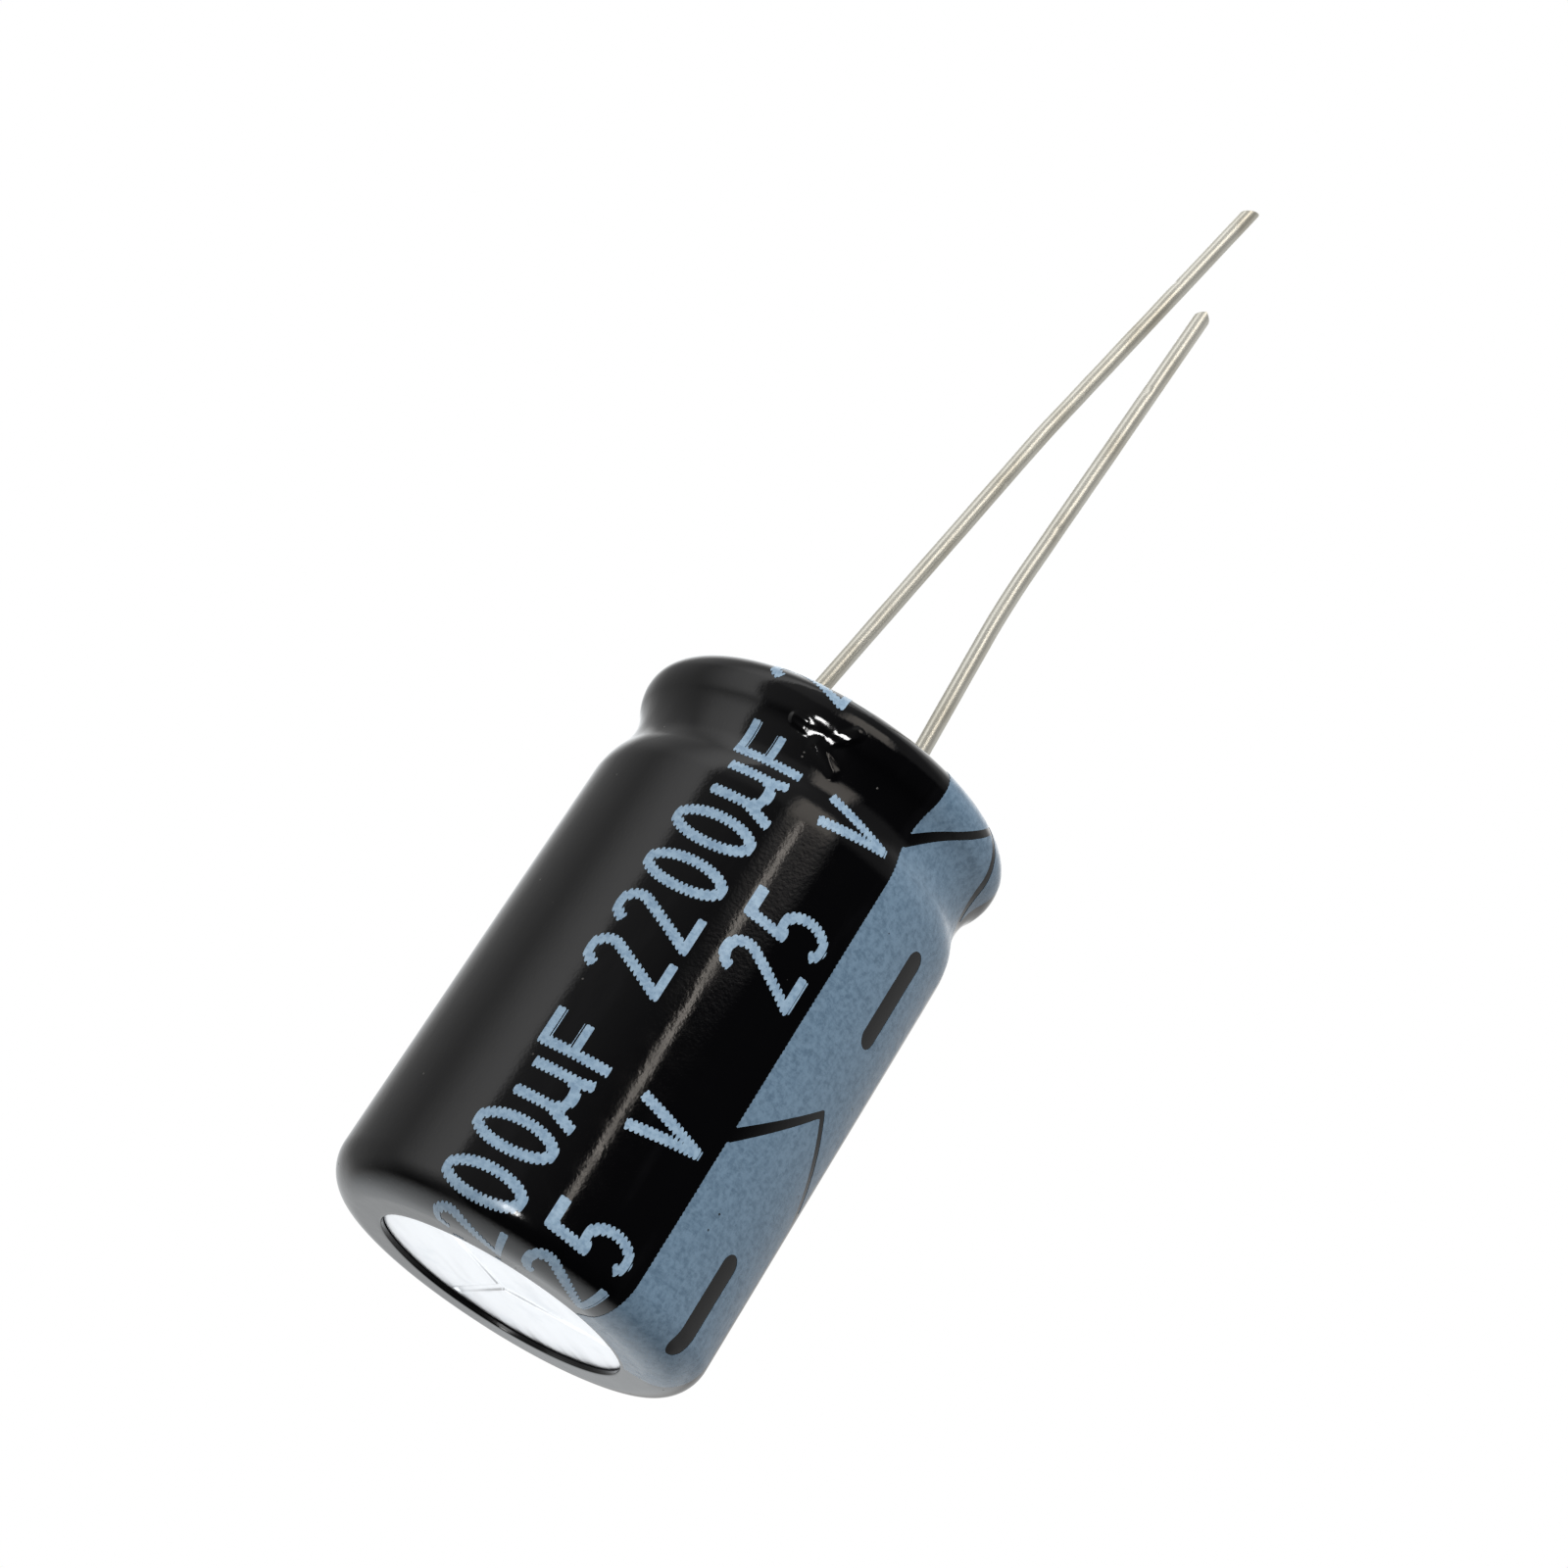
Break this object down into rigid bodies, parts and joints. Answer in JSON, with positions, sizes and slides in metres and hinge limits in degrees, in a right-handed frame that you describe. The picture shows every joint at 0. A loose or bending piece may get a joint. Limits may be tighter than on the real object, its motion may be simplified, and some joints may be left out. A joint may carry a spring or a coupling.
{
  "type": "electrolytic capacitor",
  "caption": "Radial aluminium electrolytic capacitor in a glossy black heat-shrunk sleeve, with a scored vent, a crimped rubber seal and long and short tinned leads.",
  "frame": {"origin": "middle of the sleeve's turned-in lip, on the flat closed end that the can stands on", "axes": "+Z along the can from its closed end to the leads; +X from the positive to the negative lead, through the middle of the stripe"},
  "size_m": [0.0132, 0.0132, 0.0483],
  "materials": {
    "sleeve": "glossy shrunk film with printed stripe",
    "can": "satin drawn metal",
    "rubber": "matt",
    "tinned_wire": "bright tin plate",
    "tab": "satin",
    "roll": "wound foil and paper, soaked",
    "tape": "thin film"
  },
  "bodies": {
    "root": {"sleeve": "sleeve", "can": "can", "bung": "rubber", "positive_lead": "tinned_wire", "negative_lead": "tinned_wire", "positive_tab": "tab", "negative_tab": "tab", "element": "roll", "fixing_tape": "tape"}
  },
  "joints": []
}
